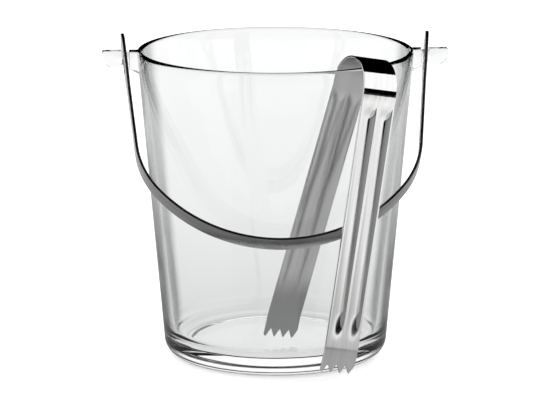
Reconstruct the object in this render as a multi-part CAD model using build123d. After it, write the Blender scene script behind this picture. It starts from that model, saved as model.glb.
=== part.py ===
from build123d import *
from math import cos, radians, sin, tan
import os

# Ice bucket: a pressed-glass bucket, its steel bail handle and the one-piece spring
# tongs hung on its rim. Millimetres, +Z up, origin at the centre of the underside.
# The two glass lugs stand on the X axis and the front of the bucket faces -Y.

# --- Glass bucket -------------------------------------------------------------------
rim_radius = 65.0
bucket_height = 146.0
base_radius = 52.0
rim_thickness = 2.8
wall_at_floor = 5.2
floor_height = 8.4
heel_radius = 8.4
floor_corner_radius = 8.0
rim_round = 1.35

# --- Glass lugs: a block on the wall, a round neck, and a knob that keeps the bail on --
pivot_height = 142.2
neck_radius = 3.0
block_face = 68.6
block_half_depth = 4.5
block_height = 8.2
block_root_drop = 2.2
knob_face = 72.2
knob_end = 81.5
knob_half_depth = 2.8
knob_height = 7.7
knob_draft = 1.4
knob_end_radius = 4.4
knob_inner_radius = 2.0
lug_edge = 0.6

# --- Bail: one flat strip bent to an arc, with an eye at each end ------------------------
bail_width = 9.6
bail_thickness = 1.5
bail_tilt = 39.5
leg_outer_x = 71.25
leg_lean = 5.6
leg_length = 48.5
shoulder_radius = 42.5
shoulder_end = 38.5
eye_tip = 12.4
eye_half_width = 8.0
eye_hole_radius = 5.25
eye_bearing_gap = 0.2
eye_full_width_end = 7.0
eye_taper_end = 17.0
strip_start = 13.0

# --- Tongs: one sheet-steel strip with a round spring bow and two fluted arms ---------
sheet = 1.0
tongs_width = 17.2
bow_radius = 14.5
arm_spread = 7.2
arm_length = 129.2
toe_length = 11.0
toe_angle = 8.0
tooth_count = 4
tooth_height = 4.2
tooth_pitch = 4.7
first_tooth = 0.8
flute_width = 7.0
flute_depth = 0.9
flute_offset = 4.2
flute_start = 5.0
flute_end_margin = 14.2
bow_centre = (38.3, -43.7, 134.1)
tongs_heading = 24.2
tongs_roll = -11.3
tongs_pitch = 3.7


def rounded(face, corner, radius):
    """Round the one corner of a face that lies nearest to a point."""
    return fillet(face.vertices().sort_by_distance(corner)[0], radius)


def bucket_body():
    """The tapered pot: thick floor, wall thinning upwards, rounded heel and rim."""
    taper = (rim_radius - base_radius) / bucket_height
    floor_radius = base_radius + taper * floor_height - wall_at_floor
    heel = (base_radius, 0, 0)
    rim_outside = (rim_radius, 0, bucket_height)
    rim_inside = (rim_radius - rim_thickness, 0, bucket_height)
    floor_corner = (floor_radius, 0, floor_height)
    outline = Polyline(
        (0, 0, 0), heel, rim_outside, rim_inside, floor_corner, (0, 0, floor_height), close=True
    )
    section = make_face(outline)
    section = rounded(section, heel, heel_radius)
    section = rounded(section, floor_corner, floor_corner_radius)
    section = rounded(section, rim_outside, rim_round)
    section = rounded(section, rim_inside, rim_round)
    return revolve(section, Axis.Z)


def lug_block():
    """The block that joins a lug to the wall, its underside sloping back into the wall."""
    root = rim_radius - rim_thickness / 2
    top = bucket_height - lug_edge / 2
    bottom = top - block_height
    outline = Polyline(
        (root, 0, top),
        (block_face, 0, top),
        (block_face, 0, bottom),
        (root, 0, bottom - block_root_drop),
        close=True,
    )
    block = extrude(make_face(outline), amount=block_half_depth, both=True)
    outer_edges = block.edges().filter_by(lambda edge: edge.center().X > block_face - lug_edge)
    return fillet(outer_edges, lug_edge)


def lug_knob():
    """The knob: flat on top, square towards the neck, its outer lower end a quarter round."""
    top = bucket_height
    bottom = top - knob_height
    outer_top = (knob_end, 0, top)
    outer_bottom = (knob_end - knob_draft, 0, bottom)
    outline = Polyline(
        (knob_face, 0, top), outer_top, outer_bottom, (knob_face, 0, bottom), close=True
    )
    section = rounded(make_face(outline), outer_bottom, knob_end_radius)
    section = rounded(section, (knob_face, 0, bottom), knob_inner_radius)
    section = rounded(section, outer_top, 2 * lug_edge)
    knob = extrude(section, amount=knob_half_depth, both=True)

    def on_outer_side(edge):
        middle = edge.center()
        return abs(middle.Y) > knob_half_depth - lug_edge and middle.X > knob_face + lug_edge

    return fillet(knob.edges().filter_by(on_outer_side), lug_edge)


def lug():
    """One lug on the +X side, ready to join the wall."""
    neck_start = block_face - lug_edge
    neck_length = knob_face + lug_edge - neck_start
    neck = Pos(neck_start, 0, pivot_height) * Rot(0, 90, 0) * Cylinder(
        neck_radius, neck_length, align=(Align.CENTER, Align.CENTER, Align.MIN)
    )
    return lug_block() + neck + lug_knob()


def glass_bucket():
    """The whole glass: pot and both lugs are one pressing."""
    right = lug()
    return bucket_body() + right + mirror(right, about=Plane.YZ)


def bail_path():
    """The middle of the strip, from the right leg round the front to the left leg.

    It is drawn hanging straight down from the pivot, in the plane y = 0.
    """
    lean = radians(leg_lean)
    turn = radians(shoulder_end)
    middle_x = leg_outer_x - bail_thickness / 2 / cos(lean)
    corner_radius = shoulder_radius - bail_thickness / 2

    def on_leg(distance):
        return (middle_x - distance * tan(lean), 0, pivot_height - distance)

    leg_start = on_leg(strip_start)
    leg_end = on_leg(leg_length)
    centre = (leg_end[0] - corner_radius * cos(lean), leg_end[2] + corner_radius * sin(lean))

    def on_shoulder(angle):
        return (centre[0] + corner_radius * cos(angle), 0, centre[1] - corner_radius * sin(angle))

    shoulder_stop = on_shoulder(turn)
    bottom_radius = shoulder_stop[0] / cos(turn)
    bottom = (0, 0, shoulder_stop[2] + bottom_radius * sin(turn) - bottom_radius)

    def mirrored(point):
        return (-point[0], 0, point[2])

    shoulder_middle = on_shoulder((lean + turn) / 2)
    return Wire(
        [
            Line(leg_start, leg_end),
            ThreePointArc(leg_end, shoulder_middle, shoulder_stop),
            ThreePointArc(shoulder_stop, bottom, mirrored(shoulder_stop)),
            ThreePointArc(mirrored(shoulder_stop), mirrored(shoulder_middle), mirrored(leg_end)),
            Line(mirrored(leg_end), mirrored(leg_start)),
        ]
    )


def bail_eye():
    """The widened right end of the strip, with the hole that passes over the knob."""
    lean = radians(leg_lean)
    tip_centre = eye_half_width - eye_tip
    outline = make_face(
        [
            ThreePointArc((-eye_half_width, -tip_centre), (0, eye_tip), (eye_half_width, -tip_centre)),
            Line((eye_half_width, -tip_centre), (eye_half_width, -eye_full_width_end)),
            Line((eye_half_width, -eye_full_width_end), (bail_width / 2, -eye_taper_end)),
            Line((bail_width / 2, -eye_taper_end), (-bail_width / 2, -eye_taper_end)),
            Line((-bail_width / 2, -eye_taper_end), (-eye_half_width, -eye_full_width_end)),
            Line((-eye_half_width, -eye_full_width_end), (-eye_half_width, -tip_centre)),
        ]
    )
    hole_drop = eye_hole_radius - neck_radius - eye_bearing_gap
    plate = extrude(outline - Pos(0, -hole_drop) * Circle(eye_hole_radius), amount=bail_thickness)
    inner_face = Plane(
        origin=(leg_outer_x - bail_thickness / cos(lean), 0, pivot_height),
        x_dir=(0, 1, 0),
        z_dir=(cos(lean), 0, -sin(lean)),
    )
    return inner_face * plate


def bail_handle():
    """The bail, leaning on the front of the bucket."""
    path = bail_path()
    start = Plane(origin=path @ 0, x_dir=(0, 1, 0), z_dir=path % 0)
    strip = sweep(start * Rectangle(bail_width, bail_thickness), path=path)
    eye = bail_eye()
    hanging = strip + eye + mirror(eye, about=Plane.YZ)
    hinge_line = Axis((0, 0, pivot_height), (1, 0, 0))
    return hanging.rotate(hinge_line, -bail_tilt)


def tongs_frame():
    """The tongs' own frame: X from outer to inner arm, Y up through the bow, Z across the strip."""
    heading = radians(tongs_heading)
    roll = radians(tongs_roll)
    pitch = radians(tongs_pitch)
    inward = Vector(-sin(heading), cos(heading), 0)
    sideways = Vector(cos(heading), sin(heading), 0)
    across = sideways * cos(roll) + Vector(0, 0, 1) * sin(roll)
    upward = Vector(0, 0, 1) * cos(roll) - sideways * sin(roll)
    towards_inner = inward * cos(pitch) + upward * sin(pitch)
    return Plane(origin=bow_centre, x_dir=towards_inner, z_dir=across)


def tongs_bow():
    """The half-round spring bow that hangs on the rim."""
    sweep_angle = 180 - 2 * arm_spread
    outside = CenterArc((0, 0), bow_radius + sheet / 2, arm_spread, sweep_angle)
    inside = CenterArc((0, 0), bow_radius - sheet / 2, arm_spread, sweep_angle)
    section = make_face([outside, inside, Line(outside @ 0, inside @ 0), Line(outside @ 1, inside @ 1)])
    return extrude(section, amount=tongs_width / 2, both=True)


def capsule(radius, length):
    """A round bar along -Y from the origin, with ball ends centred on its two end points."""
    bar = Pos(0, -length / 2, 0) * Rot(90, 0, 0) * Cylinder(radius, length)
    return bar + Sphere(radius) + Pos(0, -length, 0) * Sphere(radius)


def flute(blade_length):
    """The pressed flute of an arm, as the pair of what it adds inside and what it cuts outside."""
    groove_radius = (flute_width**2 / 4 + flute_depth**2) / (2 * flute_depth)
    centre_x = sheet / 2 + groove_radius - flute_depth
    half_width = flute_width / 2
    first = -(flute_start + half_width)
    length = blade_length - flute_start - (flute_end_margin - toe_length) - flute_width
    place = Pos(centre_x, first, 0)
    slab_depth = 2 * (flute_depth + sheet)
    inward = (Align.MAX, Align.CENTER, Align.CENTER)
    slab = Pos(sheet / 2, -blade_length / 2, 0) * Box(slab_depth, blade_length, tongs_width, align=inward)
    bead = place * capsule(groove_radius + sheet, length) & slab
    return bead, place * capsule(groove_radius, length)


def tongs_toe():
    """The toothed end of an arm, hanging along -Y from its bend."""
    half = tongs_width / 2
    valley = tooth_height - toe_length
    points = [(-half, 0), (-half, first_tooth - toe_length)]
    for tooth in range(tooth_count):
        tip = first_tooth + tooth * tooth_pitch - half
        points.append((tip, -toe_length))
        points.append((min(tip + tooth_pitch / 2, half), valley))
    points.append((half, 0))
    outline = make_face(Polyline(points, close=True))
    flat = extrude(outline, amount=sheet / 2, both=True)
    return Rot(0, 0, -toe_angle) * Rot(0, -90, 0) * flat + Cylinder(sheet / 2, tongs_width)


def tongs_arm():
    """The inner arm in the tongs' frame, its fluted outside face away from the other arm."""
    blade_length = arm_length - toe_length
    arm = Pos(0, -blade_length / 2, 0) * Box(sheet, blade_length, tongs_width)
    bead, groove = flute(blade_length)
    for side in (-1, 1):
        across = Pos(0, 0, side * flute_offset)
        arm = arm + across * bead - across * groove
    arm = arm + Pos(0, -blade_length, 0) * tongs_toe()
    spread = radians(arm_spread)
    return Pos(bow_radius * cos(spread), bow_radius * sin(spread), 0) * Rot(0, 0, arm_spread) * arm


def main():
    os.makedirs("parts", exist_ok=True)
    tongs = tongs_frame()
    inner_arm = tongs_arm()
    nodes = {
        "glass_bucket": glass_bucket(),
        "bail_handle": bail_handle(),
        "tongs_bow": tongs * tongs_bow(),
        "tongs_outer_arm": tongs * mirror(inner_arm, about=Plane.YZ),
        "tongs_inner_arm": tongs * inner_arm,
    }
    for name, shape in nodes.items():
        export_step(shape, f"parts/{name}.step")


main()
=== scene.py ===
import math

import bmesh
import bpy
from mathutils import Matrix, Vector


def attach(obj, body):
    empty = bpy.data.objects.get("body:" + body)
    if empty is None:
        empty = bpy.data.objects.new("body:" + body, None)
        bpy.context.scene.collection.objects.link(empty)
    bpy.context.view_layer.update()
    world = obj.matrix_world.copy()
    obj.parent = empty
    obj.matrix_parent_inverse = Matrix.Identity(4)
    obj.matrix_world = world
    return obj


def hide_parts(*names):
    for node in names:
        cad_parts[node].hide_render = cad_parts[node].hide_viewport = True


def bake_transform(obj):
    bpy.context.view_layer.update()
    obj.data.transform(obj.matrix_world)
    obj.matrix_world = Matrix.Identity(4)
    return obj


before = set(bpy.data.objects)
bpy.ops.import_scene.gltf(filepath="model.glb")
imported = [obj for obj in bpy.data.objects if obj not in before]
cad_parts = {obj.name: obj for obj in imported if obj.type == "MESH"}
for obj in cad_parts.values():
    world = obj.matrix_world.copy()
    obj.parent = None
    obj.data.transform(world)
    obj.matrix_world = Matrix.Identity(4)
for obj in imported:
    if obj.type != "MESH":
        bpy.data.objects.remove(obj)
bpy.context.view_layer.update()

# Everything is in metres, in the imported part's frame: +Z up, origin under the middle of the base.
MM = 0.001

# Glass bucket
RIM_RADIUS = 64.998 * MM
HEIGHT = 146.0 * MM
BASE_RADIUS = 52.0 * MM
RIM_WALL = 2.8 * MM
FLOOR_WALL = 5.2 * MM
FLOOR_HEIGHT = 8.4 * MM
HEEL_ROUND = 8.4 * MM
FLOOR_ROUND = 8.0 * MM
RIM_ROUND = 1.35 * MM
PUNT_RADIUS = 41.0 * MM
PUNT_DEPTH = 0.5 * MM
PUNT_SLOPE = 2.5 * MM

# Glass lugs
PIVOT_HEIGHT = 142.2 * MM
NECK_RADIUS = 3.0 * MM
BLOCK_FACE = 68.6 * MM
BLOCK_HALF = 4.5 * MM
BLOCK_HEIGHT = 8.2 * MM
BLOCK_DROP = 2.2 * MM
KNOB_FACE = 72.2 * MM
KNOB_END = 81.495 * MM
KNOB_HALF = 2.8 * MM
KNOB_HEIGHT = 7.7 * MM
KNOB_DRAFT = 1.4 * MM
KNOB_ROUND = 4.4 * MM
KNOB_INNER_ROUND = 2.0 * MM
LUG_EDGE = 0.6 * MM

# Bail
BAIL_HALF = 4.8 * MM
BAIL_THICKNESS = 1.5 * MM
BAIL_TILT = 39.5
LEG_OUTER_X = 71.25 * MM
LEG_LEAN = 5.6
LEG_LENGTH = 48.5 * MM
SHOULDER_RADIUS = 41.75 * MM
SHOULDER_END = 38.5
EYE_HALF = 8.0 * MM
EYE_TIP = 12.4 * MM
EYE_HOLE = 5.25 * MM
EYE_HOLE_DROP = 2.05 * MM
EYE_FULL_END = 7.0 * MM
EYE_TAPER_END = 17.0 * MM

# Tongs
SHEET = 1.0 * MM
TONGS_HALF = 8.6 * MM
BOW_RADIUS = 14.5 * MM
ARM_SPREAD = 7.2
BLADE_LENGTH = 118.2 * MM
TOE_LENGTH = 11.0 * MM
TOE_ANGLE = 8.0
BEND_HALF = 1.0 * MM
TOOTH_HEIGHT = 4.2 * MM
TOOTH_PITCH = 4.7 * MM
FIRST_TOOTH = 0.8 * MM
TEETH = 4
FLUTE_HALF = 3.5 * MM
FLUTE_DEPTH = 0.9 * MM
FLUTE_OFFSET = 4.2 * MM
FLUTE_START = 5.0 * MM
FLUTE_END = 3.2 * MM
FLUTE_FADE = 7.0 * MM
FLUTE_STOP = 14.0 * MM
BOW_CENTRE = Vector((38.3 * MM, -43.7 * MM, 134.1 * MM))
TONGS_HEADING = 24.2
TONGS_ROLL = -11.3
TONGS_PITCH = 3.7

# Studio: how far out the cards under the object are shaded
CARD_REACH = 2.25


# --- Shape helpers -----------------------------------------------------------------------
def rounded_path(corners, radii, steps=8):
    """The points of a 2D polyline whose inner corners are turned into arcs."""
    corners = [Vector(c) for c in corners]
    points = [corners[0]]
    for before, corner, after, radius in zip(corners, corners[1:], corners[2:], radii):
        if radius == 0:
            points.append(corner)
            continue
        back = (before - corner).normalized()
        ahead = (after - corner).normalized()
        half = back.angle(ahead) / 2
        centre = corner + (back + ahead).normalized() * (radius / math.sin(half))
        start = corner + back * (radius / math.tan(half)) - centre
        turn = math.pi - 2 * half
        if back.x * ahead.y - back.y * ahead.x > 0:
            turn = -turn
        for step in range(steps + 1):
            points.append(centre + Matrix.Rotation(turn * step / steps, 2) @ start)
    points.append(corners[-1])
    return points


def divided(points, spacing):
    """The same 2D line with its long runs divided."""
    dense = [points[0]]
    for a, b in zip(points, points[1:]):
        count = max(1, math.ceil((b - a).length / spacing))
        dense += [a.lerp(b, k / count) for k in range(1, count + 1)]
    return dense


def new_piece(name, bm):
    """A linked mesh object made from a bmesh, with its normals pointing outwards."""
    bmesh.ops.recalc_face_normals(bm, faces=bm.faces)
    mesh = bpy.data.meshes.new(name)
    bm.to_mesh(mesh)
    bm.free()
    piece = bpy.data.objects.new(name, mesh)
    bpy.context.scene.collection.objects.link(piece)
    return piece


def applied(piece):
    """Turn the piece's modifiers into plain mesh."""
    bpy.context.view_layer.update()
    evaluated = piece.evaluated_get(bpy.context.evaluated_depsgraph_get())
    mesh = bpy.data.meshes.new_from_object(evaluated)
    piece.modifiers.clear()
    piece.data = mesh
    return piece


def smooth(piece, angle):
    """Smooth shading with edges sharper than the angle kept crisp."""
    piece.data.shade_smooth()
    piece.data.set_sharp_from_angle(angle=math.radians(angle))


def lathe(profile, segments):
    """A body of revolution about Z from (radius, height) points, first and last on the axis."""
    bm = bmesh.new()
    rings = []
    for radius, height in profile:
        count = 1 if radius < 1e-7 else segments
        turns = [2 * math.pi * k / segments for k in range(count)]
        ring = [(radius * math.cos(t), radius * math.sin(t), height) for t in turns]
        rings.append([bm.verts.new(spot) for spot in ring])
    for low, high in zip(rings, rings[1:]):
        for k in range(segments):
            n = (k + 1) % segments
            below = [low[k % len(low)], low[n % len(low)]]
            above = [high[n % len(high)], high[k % len(high)]]
            bm.faces.new(list(dict.fromkeys(below + above)))
    return bm


def prism(outline, half_depth, edge):
    """An outline in X and Z, extruded both ways along Y, with softened edges on its two sides."""
    bm = bmesh.new()
    bottom = [bm.verts.new((x, -half_depth, z)) for x, z in outline]
    face = bm.faces.new(bottom)
    raised = bmesh.ops.extrude_face_region(bm, geom=[face])["geom"]
    moved = [item for item in raised if isinstance(item, bmesh.types.BMVert)]
    bmesh.ops.translate(bm, verts=moved, vec=(0, 2 * half_depth, 0))
    sides = [e for e in bm.edges if abs(e.verts[0].co.y - e.verts[1].co.y) < 1e-9]
    bmesh.ops.bevel(
        bm, geom=sides, offset=edge, segments=4, profile=0.5, affect="EDGES", clamp_overlap=True
    )
    bmesh.ops.remove_doubles(bm, verts=bm.verts, dist=1e-6)
    return bm


def unite(target, tool):
    """Join the tool's solid into the target's, then drop the tool."""
    union = target.modifiers.new("union", "BOOLEAN")
    union.operation = "UNION"
    union.solver = "EXACT"
    union.object = tool
    applied(target)
    bpy.data.objects.remove(tool)


# --- Glass bucket --------------------------------------------------------------------------
def bucket_profile():
    """Half the pot's section, from the middle of the underside round to the middle of the floor."""
    taper = (RIM_RADIUS - BASE_RADIUS) / HEIGHT
    floor_radius = BASE_RADIUS + taper * FLOOR_HEIGHT - FLOOR_WALL
    corners = [
        (0, PUNT_DEPTH),
        (PUNT_RADIUS - PUNT_SLOPE, PUNT_DEPTH),
        (PUNT_RADIUS, 0),
        (BASE_RADIUS, 0),
        (RIM_RADIUS, HEIGHT),
        (RIM_RADIUS - RIM_WALL, HEIGHT),
        (floor_radius, FLOOR_HEIGHT),
        (0, FLOOR_HEIGHT),
    ]
    radii = [2 * MM, 2 * MM, HEEL_ROUND, RIM_ROUND, RIM_ROUND, FLOOR_ROUND]
    return divided(rounded_path(corners, radii, 12), 5 * MM)


def lug_pieces(side):
    """The block, neck and knob of one lug, each overlapping its neighbour a little."""
    root = RIM_RADIUS - RIM_WALL / 2
    top = HEIGHT - LUG_EDGE / 2
    bottom = top - BLOCK_HEIGHT
    block = [(root, top), (BLOCK_FACE, top), (BLOCK_FACE, bottom), (root, bottom - BLOCK_DROP)]
    knob_bottom = HEIGHT - KNOB_HEIGHT
    knob = rounded_path(
        [
            (KNOB_FACE + KNOB_INNER_ROUND * 1.5, knob_bottom),
            (KNOB_FACE, knob_bottom),
            (KNOB_FACE, HEIGHT),
            (KNOB_END, HEIGHT),
            (KNOB_END - KNOB_DRAFT, knob_bottom),
            (KNOB_FACE + KNOB_INNER_ROUND * 1.5, knob_bottom),
        ],
        [KNOB_INNER_ROUND, 0.3 * MM, 1.2 * MM, KNOB_ROUND],
        10,
    )[:-1]
    neck = bmesh.new()
    neck_middle = Matrix.Translation(((KNOB_FACE + BLOCK_FACE) / 2, 0, PIVOT_HEIGHT))
    bmesh.ops.create_cone(
        neck, segments=48, radius1=NECK_RADIUS, radius2=NECK_RADIUS, cap_ends=True,
        depth=KNOB_FACE - BLOCK_FACE + 2 * LUG_EDGE,
        matrix=neck_middle @ Matrix.Rotation(math.pi / 2, 4, "Y"),
    )
    made = [prism(block, BLOCK_HALF, LUG_EDGE), neck, prism(knob, KNOB_HALF, LUG_EDGE)]
    if side < 0:
        for bm in made:
            bmesh.ops.transform(bm, matrix=Matrix.Diagonal((-1, 1, 1, 1)), verts=bm.verts)
    return [new_piece(f"lug_part_{k}", bm) for k, bm in enumerate(made)]


def bucket():
    """The pot and both lugs as one solid."""
    piece = new_piece("bucket_glass", lathe(bucket_profile(), 256))
    for side in (1, -1):
        for part in lug_pieces(side):
            unite(piece, part)
    smooth(piece, 32)
    return piece


# --- Bail ----------------------------------------------------------------------------------
def bail_line():
    """A function from distance along the strip to its middle point and outward normal, and the length.

    The distance runs from the right pivot to the left one, in the bail's own upright plane.
    """
    lean = math.radians(LEG_LEAN)
    turn = math.radians(SHOULDER_END)
    middle = LEG_OUTER_X - BAIL_THICKNESS / 2 / math.cos(lean)
    leg_run = LEG_LENGTH / math.cos(lean) - BAIL_THICKNESS / 2 * math.tan(lean)
    leg_end = Vector((middle - LEG_LENGTH * math.tan(lean), PIVOT_HEIGHT - LEG_LENGTH))
    centre = leg_end - SHOULDER_RADIUS * Vector((math.cos(lean), -math.sin(lean)))
    shoulder_run = SHOULDER_RADIUS * (turn - lean)
    shoulder_stop = centre + SHOULDER_RADIUS * Vector((math.cos(turn), -math.sin(turn)))
    bottom_radius = shoulder_stop.x / math.cos(turn)
    bottom_centre = Vector((0, shoulder_stop.y + bottom_radius * math.sin(turn)))
    half_run = leg_run + shoulder_run + bottom_radius * (math.pi / 2 - turn)

    def place(distance):
        mirrored = distance > half_run
        along = 2 * half_run - distance if mirrored else distance
        if along <= leg_run:
            normal = Vector((math.cos(lean), -math.sin(lean)))
            point = leg_end + (leg_run - along) * Vector((math.sin(lean), math.cos(lean)))
        elif along <= leg_run + shoulder_run:
            angle = lean + (along - leg_run) / SHOULDER_RADIUS
            normal = Vector((math.cos(angle), -math.sin(angle)))
            point = centre + SHOULDER_RADIUS * normal
        else:
            angle = turn + (along - leg_run - shoulder_run) / bottom_radius
            normal = Vector((math.cos(angle), -math.sin(angle)))
            point = bottom_centre + bottom_radius * normal
        if mirrored:
            point = Vector((-point.x, point.y))
            normal = Vector((-normal.x, normal.y))
        return point, normal

    return place, 2 * half_run


def eye_outlines():
    """The two halves of the eye plate, each a closed (along, across) outline beside the hole."""
    centre = EYE_HALF - EYE_TIP
    outer = [(EYE_TAPER_END, BAIL_HALF), (EYE_FULL_END, EYE_HALF)]
    outer += [
        (centre - EYE_HALF * math.sin(a), EYE_HALF * math.cos(a))
        for a in [math.pi / 2 * k / 14 for k in range(15)]
    ]
    hole = [
        (EYE_HOLE_DROP - EYE_HOLE * math.cos(a), EYE_HOLE * math.sin(a))
        for a in [math.pi * k / 24 for k in range(25)]
    ]
    half = outer + hole + [(EYE_TAPER_END, 0)]
    return half, [(s, -w) for s, w in half]


def bail():
    """The strip with an eye at each end, leaning against the front of the pot."""
    place, length = bail_line()
    tilt = Matrix.Rotation(math.radians(-BAIL_TILT), 4, "X")
    pivot = Vector((0, 0, PIVOT_HEIGHT))
    bm = bmesh.new()
    strip = bm.verts.layers.float_vector.new("strip")

    def vertex(along, across, outside):
        point, normal = place(along)
        flat = point + normal * (BAIL_THICKNESS / 2 if outside else -BAIL_THICKNESS / 2)
        made = bm.verts.new(tilt @ (Vector((flat.x, across, flat.y)) - pivot) + pivot)
        made[strip] = (along, across, BAIL_THICKNESS if outside else 0)
        return made

    for end in (0, 1):
        for half in eye_outlines():
            loops = []
            for outside in (True, False):
                spots = [(length - s if end else s, w) for s, w in half]
                loops.append([vertex(s, w, outside) for s, w in spots])
                bm.faces.new(loops[-1])
            top, bottom = loops
            count = len(half)
            for k in range(count):
                n = (k + 1) % count
                on_middle = abs(half[k][1]) < 1e-9 and abs(half[n][1]) < 1e-9
                across_end = half[k][0] == EYE_TAPER_END and half[n][0] == EYE_TAPER_END
                if not on_middle and not across_end:
                    bm.faces.new((top[k], top[n], bottom[n], bottom[k]))
    rows = 120
    spots = [EYE_TAPER_END + (length - 2 * EYE_TAPER_END) * k / rows for k in range(rows + 1)]
    section = [(w, True) for w in (-BAIL_HALF, 0, BAIL_HALF)]
    section += [(w, False) for w in (BAIL_HALF, 0, -BAIL_HALF)]
    lines = [[vertex(s, w, outside) for w, outside in section] for s in spots]
    for a, b in zip(lines, lines[1:]):
        for k in range(6):
            n = (k + 1) % 6
            bm.faces.new((a[k], a[n], b[n], b[k]))
    bmesh.ops.remove_doubles(bm, verts=bm.verts, dist=1e-6)
    piece = new_piece("bail_strip", bm)
    edge = piece.modifiers.new("edge", "BEVEL")
    edge.width = 0.22 * MM
    edge.segments = 3
    edge.limit_method = "ANGLE"
    edge.angle_limit = math.radians(40)
    applied(piece)
    smooth(piece, 40)
    return piece


# --- Tongs ---------------------------------------------------------------------------------
def tongs_matrix():
    """The tongs' own frame: X from outer to inner arm, Y up through the bow, Z across the strip."""
    heading = math.radians(TONGS_HEADING)
    roll = math.radians(TONGS_ROLL)
    pitch = math.radians(TONGS_PITCH)
    up = Vector((0, 0, 1))
    inward = Vector((-math.sin(heading), math.cos(heading), 0))
    sideways = Vector((math.cos(heading), math.sin(heading), 0))
    across = sideways * math.cos(roll) + up * math.sin(roll)
    upward = up * math.cos(roll) - sideways * math.sin(roll)
    x_axis = inward * math.cos(pitch) + upward * math.sin(pitch)
    y_axis = across.cross(x_axis)
    turn = Matrix((x_axis, y_axis, across)).transposed().to_4x4()
    return Matrix.Translation(BOW_CENTRE) @ turn


def eased(value):
    """0 below 0, 1 above 1, smooth in between."""
    value = max(0, min(1, value))
    return value**2 * (3 - 2 * value)


def flute_depth(along, across):
    """How far the sheet is pressed in, at a distance down the blade from the bow and across it."""
    radius = (FLUTE_HALF**2 + FLUTE_DEPTH**2) / (2 * FLUTE_DEPTH)
    reach = min(abs(across - side * FLUTE_OFFSET) for side in (-1, 1))
    if reach >= FLUTE_HALF:
        return 0
    round_end = BLADE_LENGTH - FLUTE_END - FLUTE_HALF + math.sqrt(FLUTE_HALF**2 - reach**2)
    open_part = eased((along - FLUTE_START) / FLUTE_FADE) * eased((round_end - along) / FLUTE_STOP)
    return open_part * (math.sqrt(radius**2 - reach**2) - radius + FLUTE_DEPTH)


def tongs():
    """The whole strip: two mirrored arms joined by the bow, with flutes, bent toes and teeth."""
    spread = math.radians(ARM_SPREAD)
    toe_turn = math.radians(ARM_SPREAD - TOE_ANGLE)
    bow_end = Vector((BOW_RADIUS * math.cos(spread), BOW_RADIUS * math.sin(spread)))
    down = Vector((math.sin(spread), -math.cos(spread)))
    toe_down = Vector((math.sin(toe_turn), -math.cos(toe_turn)))
    bend = bow_end + down * BLADE_LENGTH
    place = tongs_matrix()
    width = 2 * TONGS_HALF
    corners = [0, width] + [FIRST_TOOTH + k * TOOTH_PITCH / 2 for k in range(2 * TEETH - 1)]
    even = [width * k / 96 for k in range(97)]
    spots = corners + [u for u in even if min(abs(u - c) for c in corners) > 0.06 * MM]
    across = [u - TONGS_HALF for u in sorted(spots)]
    columns = len(across) - 1

    def tooth_reach(z):
        past = z + TONGS_HALF - FIRST_TOOTH
        if past < 0:
            return TOE_LENGTH + past
        phase = past / TOOTH_PITCH % 1
        return TOE_LENGTH - TOOTH_HEIGHT * (1 - abs(2 * phase - 1))

    bow_rows = 56
    half = []
    for k in range(bow_rows // 2 + 1):
        angle = math.pi / 2 - (math.pi / 2 - spread) * 2 * k / bow_rows
        half.append(("bow", angle))
    blade = sorted(
        [BLADE_LENGTH * k / 90 for k in range(1, 90)]
        + [FLUTE_START + 0.4 * MM * k for k in range(18)]
        + [BLADE_LENGTH - FLUTE_END - 0.4 * MM * k for k in range(40)]
    )
    half += [("blade", s) for s in blade if s < BLADE_LENGTH - BEND_HALF]
    half += [("bend", k / 6) for k in range(7)]
    half += [("toe", k / 10) for k in range(1, 11)]

    def half_point(kind, value, z):
        """Centre-line point, outward normal and distance from the bow's top, on the inner side."""
        if kind == "bow":
            normal = Vector((math.cos(value), math.sin(value)))
            return normal * BOW_RADIUS, normal, BOW_RADIUS * (math.pi / 2 - value)
        base = BOW_RADIUS * (math.pi / 2 - spread)
        outward = Vector((math.cos(spread), math.sin(spread)))
        toe_outward = Vector((math.cos(toe_turn), math.sin(toe_turn)))
        if kind == "blade":
            return bow_end + down * value - outward * flute_depth(value, z), outward, base + value
        if kind == "bend":
            a, b = bend - down * BEND_HALF, bend + toe_down * BEND_HALF
            point = a.lerp(bend, value).lerp(bend.lerp(b, value), value)
            normal = outward.lerp(toe_outward, value).normalized()
            return point, normal, base + BLADE_LENGTH + BEND_HALF * (2 * value - 1)
        run = BEND_HALF + value * (tooth_reach(z) - BEND_HALF)
        return bend + toe_down * run, toe_outward, base + BLADE_LENGTH + run

    bm = bmesh.new()
    strip = bm.verts.layers.float_vector.new("strip")
    rows = [(-1, item) for item in reversed(half[1:])] + [(1, item) for item in half]
    skins = {1: [], -1: []}
    for side, (kind, value) in rows:
        for face in (1, -1):
            line = []
            for z in across:
                point, normal, run = half_point(kind, value, z)
                flat = point + normal * face * SHEET / 2
                vert = bm.verts.new(place @ Vector((side * flat.x, flat.y, z)))
                vert[strip] = (side * run, z, face * SHEET / 2)
                line.append(vert)
            skins[face].append(line)
    outer, inner = skins[1], skins[-1]
    for r in range(len(rows) - 1):
        for c in range(columns):
            bm.faces.new((outer[r][c], outer[r][c + 1], outer[r + 1][c + 1], outer[r + 1][c]))
            bm.faces.new((inner[r][c], inner[r + 1][c], inner[r + 1][c + 1], inner[r][c + 1]))
        for c in (0, columns):
            bm.faces.new((outer[r][c], outer[r + 1][c], inner[r + 1][c], inner[r][c]))
    for r in (0, len(rows) - 1):
        for c in range(columns):
            bm.faces.new((outer[r][c], inner[r][c], inner[r][c + 1], outer[r][c + 1]))
    piece = new_piece("tongs_strip", bm)
    edge = piece.modifiers.new("edge", "BEVEL")
    edge.width = 0.12 * MM
    edge.segments = 2
    edge.limit_method = "ANGLE"
    edge.angle_limit = math.radians(60)
    applied(piece)
    smooth(piece, 40)
    return piece


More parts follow.
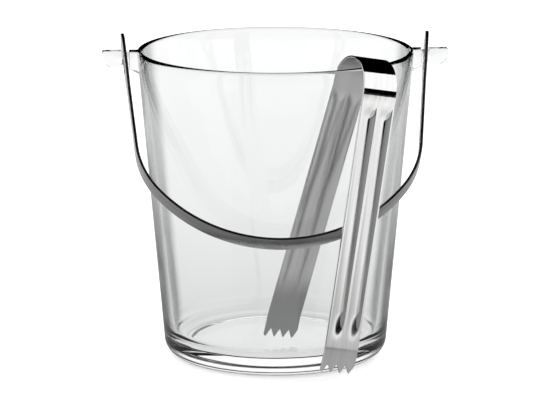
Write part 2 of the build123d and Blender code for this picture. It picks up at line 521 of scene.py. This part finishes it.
# --- Materials -----------------------------------------------------------------------------
class Nodes:
    """A short way to write a node tree."""

    def __init__(self, name):
        self.material = bpy.data.materials.new(name)
        self.material.use_nodes = True
        self.tree = self.material.node_tree
        self.shader = self.tree.nodes["Principled BSDF"]

    def add(self, kind, **values):
        node = self.tree.nodes.new(kind)
        for key, value in values.items():
            if hasattr(node, key):
                setattr(node, key, value)
            else:
                node.inputs[key.replace("_", " ")].default_value = value
        return node

    def link(self, source, target):
        self.tree.links.new(source, target)


def stretched(nodes, scale):
    """Strip coordinates scaled unevenly, for marks that run along the strip."""
    coordinates = nodes.add("ShaderNodeAttribute", attribute_name="strip")
    mapping = nodes.add("ShaderNodeMapping")
    mapping.inputs["Scale"].default_value = scale
    nodes.link(coordinates.outputs["Vector"], mapping.inputs["Vector"])
    return mapping.outputs["Vector"]


def noise(nodes, vector, scale, detail):
    made = nodes.add("ShaderNodeTexNoise")
    made.inputs["Scale"].default_value = scale
    made.inputs["Detail"].default_value = detail
    nodes.link(vector, made.inputs["Vector"])
    return made.outputs["Fac"]


def ranged(nodes, value, low, high):
    made = nodes.add("ShaderNodeMapRange")
    made.inputs["From Min"].default_value = 0.3
    made.inputs["From Max"].default_value = 0.7
    made.inputs["To Min"].default_value = low
    made.inputs["To Max"].default_value = high
    nodes.link(value, made.inputs["Value"])
    return made.outputs["Result"]


def tinted(nodes, value, dark, light):
    made = nodes.add("ShaderNodeMix", data_type="RGBA")
    made.inputs["A"].default_value = (*dark, 1)
    made.inputs["B"].default_value = (*light, 1)
    nodes.link(ranged(nodes, value, 0, 1), made.inputs["Factor"])
    return made.outputs["Result"]


def bumped(nodes, value, strength, distance):
    made = nodes.add("ShaderNodeBump")
    made.inputs["Strength"].default_value = strength
    made.inputs["Distance"].default_value = distance
    nodes.link(value, made.inputs["Height"])
    nodes.link(made.outputs["Normal"], nodes.shader.inputs["Normal"])


def between(nodes, value, low, high):
    """0 below the low value, 1 above the high one, smooth in between."""
    made = nodes.add("ShaderNodeMapRange", interpolation_type="SMOOTHSTEP")
    made.inputs["From Min"].default_value = low
    made.inputs["From Max"].default_value = high
    nodes.link(value, made.inputs["Value"])
    return made.outputs["Result"]


def blended(nodes, kind, factor, a, b):
    """A mix of two values or colours, each a socket or a constant."""
    made = nodes.add("ShaderNodeMix", data_type=kind)
    sockets = [s for s in made.inputs if s.enabled]
    nodes.link(factor, sockets[0])
    for socket, value in zip(sockets[1:], (a, b)):
        if isinstance(value, bpy.types.NodeSocket):
            nodes.link(value, socket)
        else:
            socket.default_value = value
    return next(s for s in made.outputs if s.enabled)


def glass_material():
    """Clear glass with painted shade in its colour where the wall is seen edge-on, darker towards the
    bottom.
    """
    nodes = Nodes("clear_glass")
    shader = nodes.shader
    shader.inputs["Transmission Weight"].default_value = 1
    shader.inputs["IOR"].default_value = 1.5
    shader.inputs["Roughness"].default_value = 0
    position = nodes.add("ShaderNodeTexCoord").outputs["Object"]
    place = nodes.add("ShaderNodeSeparateXYZ")
    nodes.link(position, place.inputs["Vector"])
    # Painted shade: on the wall (not on flat faces) the colour goes dark where the surface is seen
    # edge-on, near black below 0.03 m and mid grey above 0.14 m.
    facing = nodes.add("ShaderNodeLayerWeight", Blend=0.5).outputs["Facing"]
    normal = nodes.add("ShaderNodeSeparateXYZ")
    nodes.link(nodes.add("ShaderNodeTexCoord").outputs["Normal"], normal.inputs["Vector"])
    slope = nodes.add("ShaderNodeMath", operation="ABSOLUTE")
    nodes.link(normal.outputs["Z"], slope.inputs[0])
    level = between(nodes, slope.outputs["Value"], 0.3, 0.6)
    edge_on_painted_shade = between(nodes, facing, 0.54, 0.72)
    share = blended(nodes, "FLOAT", level, edge_on_painted_shade, 0.0)
    high = between(nodes, place.outputs["Z"], 0.03, 0.14)
    edge = blended(nodes, "RGBA", high, (0.05, 0.055, 0.055, 1), (0.38, 0.39, 0.39, 1))
    colour = blended(nodes, "RGBA", share, (0.985, 0.99, 0.99, 1), edge)
    nodes.link(colour, shader.inputs["Base Color"])
    bumped(nodes, noise(nodes, position, 38, 1), 0.25, 0.0006)
    return nodes.material


def steel_material(name, scale, dark, light, smoothest, roughest, bump):
    """Steel with fine streaks along the strip and cloudy changes of polish."""
    nodes = Nodes(name)
    nodes.shader.inputs["Metallic"].default_value = 1
    streaks = noise(nodes, stretched(nodes, scale), 1, 4)
    clouds = noise(nodes, stretched(nodes, (60, 60, 60)), 1, 2)
    colour = tinted(nodes, streaks, dark, light)
    nodes.link(colour, nodes.shader.inputs["Base Color"])
    roughness = ranged(nodes, clouds, smoothest, roughest)
    nodes.link(roughness, nodes.shader.inputs["Roughness"])
    bumped(nodes, streaks, bump, 0.0001)
    return nodes, colour, roughness


def tongs_steel():
    """Polished round the bow, satin down the arms, rougher on the strip's inner side, with painted shade
    in the inner side's colour, darkest at the toe.
    """
    nodes, colour, roughness = steel_material(
        "tongs_steel", (30, 700, 700), (0.84, 0.84, 0.835), (0.94, 0.94, 0.935), 0.08, 0.14, 0.1
    )
    parts = nodes.add("ShaderNodeSeparateXYZ")
    place = nodes.add("ShaderNodeAttribute", attribute_name="strip")
    nodes.link(place.outputs["Vector"], parts.inputs["Vector"])
    distance = nodes.add("ShaderNodeMath", operation="ABSOLUTE")
    nodes.link(parts.outputs["X"], distance.inputs[0])
    bow_run = BOW_RADIUS * (math.pi / 2 - math.radians(ARM_SPREAD))
    on_arm = between(nodes, distance.outputs["Value"], bow_run + 8 * MM, bow_run + 28 * MM)
    outside = between(nodes, parts.outputs["Z"], -SHEET / 4, SHEET / 4)
    # Painted shade: the strip's inner side is coloured darker than its outer side, and darker still
    # towards the toe.
    toe_run = bow_run + BLADE_LENGTH
    toe_painted_shade_mask = between(nodes, distance.outputs["Value"], toe_run - 24 * MM, toe_run - 8 * MM)
    inner_side_painted_shade = blended(nodes, "RGBA", toe_painted_shade_mask, (0.52, 0.52, 0.515, 1), (0.28, 0.28, 0.28, 1))
    skin = blended(nodes, "RGBA", outside, inner_side_painted_shade, colour)
    finish = blended(nodes, "FLOAT", on_arm, 0.035, roughness)
    nodes.link(skin, nodes.shader.inputs["Base Color"])
    nodes.link(blended(nodes, "FLOAT", outside, 0.34, finish), nodes.shader.inputs["Roughness"])
    return nodes.material


def dress(piece, material):
    piece.data.materials.clear()
    piece.data.materials.append(material)


# --- Stage ---------------------------------------------------------------------------------
def stage_mesh(name, bm, material):
    piece = new_piece(name, bm)
    piece.data.materials.append(material)
    return piece


def plain(name, colour, roughness):
    nodes = Nodes(name)
    nodes.shader.inputs["Base Color"].default_value = (colour, colour, colour, 1)
    nodes.shader.inputs["Roughness"].default_value = roughness
    nodes.shader.inputs["Specular IOR Level"].default_value = 0
    return nodes.material


def glow(name, strength):
    nodes = Nodes(name)
    emission = nodes.add("ShaderNodeEmission")
    emission.inputs["Strength"].default_value = strength
    output = nodes.tree.nodes["Material Output"]
    nodes.link(emission.outputs["Emission"], output.inputs["Surface"])
    return nodes.material


def seen_by(piece, glossy, refracted):
    """Keep a studio card out of the picture, with no light or shadow of its own on the floor."""
    piece.visible_camera = False
    piece.visible_diffuse = False
    piece.visible_shadow = False
    piece.visible_volume_scatter = False
    piece.visible_glossy = glossy
    piece.visible_transmission = refracted


def band(name, radius, directions, elevations, strength, glossy, refracted):
    """Part of a glowing sphere round the object, between two directions and two elevations in degrees."""
    bm = bmesh.new()
    columns, rows = 48, 12
    full = directions[1] - directions[0] >= 360
    rings = []
    for k in range(rows + 1):
        e = math.radians(elevations[0] + (elevations[1] - elevations[0]) * k / rows)
        ring = []
        for n in range(columns if full else columns + 1):
            d = math.radians(directions[0] + (directions[1] - directions[0]) * n / columns)
            level = radius * math.cos(e)
            ring.append(bm.verts.new((level * math.sin(d), -level * math.cos(d), radius * math.sin(e))))
        rings.append(ring)
    for low, high in zip(rings, rings[1:]):
        for n in range(columns):
            m = (n + 1) % len(low)
            bm.faces.new((low[n], low[m], high[m], high[n]))
    piece = stage_mesh(name, bm, glow(name, strength))
    seen_by(piece, glossy, refracted)


def disc(name, material, height, radius, glossy, refracted):
    """A flat round card under the object."""
    bm = bmesh.new()
    bmesh.ops.create_circle(bm, cap_ends=True, segments=96, radius=radius)
    bmesh.ops.translate(bm, verts=bm.verts, vec=(0, 0, height))
    seen_by(stage_mesh(name, bm, material), glossy, refracted)


def floor_glow_with_painted_shadow(name, stops, front):
    """A glow with painted shadow: its tone follows distance from the axis in metres, darker near the
    object, times a painted-shade factor in a sector at the front.
    """
    nodes = Nodes(name)
    position = nodes.add("ShaderNodeTexCoord").outputs["Object"]
    reach = nodes.add("ShaderNodeVectorMath", operation="LENGTH")
    nodes.link(position, reach.inputs[0])
    share = nodes.add("ShaderNodeMath", operation="MULTIPLY")
    share.inputs[1].default_value = 1 / CARD_REACH
    nodes.link(reach.outputs["Value"], share.inputs[0])
    ramp = nodes.add("ShaderNodeValToRGB")
    elements = ramp.color_ramp.elements
    while len(elements) < len(stops):
        elements.new(0.5)
    for element, (place, tone) in zip(elements, stops):
        element.position = place / CARD_REACH
        element.color = (tone, tone, tone, 1)
    nodes.link(share.outputs["Value"], ramp.inputs["Fac"])
    direction = nodes.add("ShaderNodeVectorMath", operation="NORMALIZE")
    nodes.link(position, direction.inputs[0])
    parts = nodes.add("ShaderNodeSeparateXYZ")
    nodes.link(direction.outputs["Vector"], parts.inputs["Vector"])
    # Painted shade: the sector in front is dimmed by the front factor, except close to the axis.
    aside = between(nodes, parts.outputs["Y"], -0.81, -0.76)
    strength = blended(nodes, "FLOAT", aside, front, 1.0)
    near = between(nodes, reach.outputs["Value"], 0.09, 0.16)
    strength = blended(nodes, "FLOAT", near, 1.0, strength)
    emission = nodes.add("ShaderNodeEmission")
    nodes.link(ramp.outputs["Color"], emission.inputs["Color"])
    nodes.link(strength, emission.inputs["Strength"])
    nodes.link(emission.outputs["Emission"], nodes.tree.nodes["Material Output"].inputs["Surface"])
    return nodes.material


def studio():
    """A pale floor, even light, and cards seen only in the steel's reflections or through the glass, two
    of them with painted shadow round the object.
    """
    floor = bmesh.new()
    corners = [(-6, -6), (6, -6), (6, 6), (-6, 6)]
    floor.faces.new([floor.verts.new((x, y, -0.0002)) for x, y in corners])
    pale = plain("pale_floor", 0.97, 0.9)
    shader = pale.node_tree.nodes["Principled BSDF"]
    shader.inputs["Emission Color"].default_value = (1, 1, 1, 1)
    shader.inputs["Emission Strength"].default_value = 0.4
    stage_mesh("floor", floor, pale)
    world = bpy.data.worlds.new("studio")
    world.use_nodes = True
    world.node_tree.nodes["Background"].inputs["Color"].default_value = (1, 1, 1, 1)
    world.node_tree.nodes["Background"].inputs["Strength"].default_value = 1.06
    bpy.context.scene.world = world
    # Seen in reflections: painted shadow, darker near the object, full tone farther out, dark past 1.8 m.
    glow_and_painted_shadow_stops = [(0.04, 0.24), (0.1, 0.4), (0.5, 0.9), (1.76, 1), (1.8, 0.01)]
    disc("reflected_floor", floor_glow_with_painted_shadow("reflected_floor", glow_and_painted_shadow_stops, 0.6), -0.0001, 2.25, True, False)
    # Seen through the glass: painted shadow, darker under the object.
    glow_and_painted_shadow_stops = [(0.06, 0.74), (0.3, 0.9), (0.8, 1)]
    disc("light_table", floor_glow_with_painted_shadow("light_table", glow_and_painted_shadow_stops, 1.0), -0.00015, 2.2, False, True)
    band("dark_room", 2.2, (0, 360), (-0.5, 89.9), 0, True, False)
    steps = [(-0.5, 3, 0.16), (3, 6, 0.24), (6, 9, 0.32), (9, 35, 0.4)]
    for step, (low, high, strength) in enumerate(steps):
        band(f"dim_front_{step}", 2.1, (-60, 34), (low, high), strength, True, False)
    for side, start in (("right", 36), ("left", -116)):
        band(f"softbox_{side}", 2.0, (start, start + 80), (10, 48), 1.1, True, False)
    bpy.context.scene.view_settings.view_transform = "Standard"


def camera():
    """The photograph's viewing angle: a long lens from the front, a little above."""
    target = Vector((0, 0, 0.07364))
    elevation, yaw, distance = math.radians(12.257), math.radians(3), 1.6474
    level = math.cos(elevation)
    away = Vector((-math.sin(yaw) * level, -math.cos(yaw) * level, math.sin(elevation)))
    data = bpy.data.cameras.new("camera")
    data.lens = 230.2
    data.sensor_width = 36
    data.shift_x = -0.0053
    data.clip_start = 0.05
    data.clip_end = 50
    made = bpy.data.objects.new("camera", data)
    bpy.context.scene.collection.objects.link(made)
    turn = away.to_track_quat("Z", "Y").to_matrix().to_4x4()
    made.matrix_world = Matrix.Translation(target + away * distance) @ turn
    bpy.context.scene.camera = made


# --- Put together --------------------------------------------------------------------------
glass = bucket()
dress(glass, glass_material())
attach(glass, "bucket")
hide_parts("glass_bucket")

handle = bail()
bail_steel = steel_material("bail_steel", (40, 900, 900), (0.34,) * 3, (0.46,) * 3, 0.2, 0.3, 0.3)[0]
dress(handle, bail_steel.material)
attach(handle, "bail")
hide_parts("bail_handle")

strip = tongs()
dress(strip, tongs_steel())
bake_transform(strip)
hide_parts("tongs_bow", "tongs_outer_arm", "tongs_inner_arm")

studio()
camera()
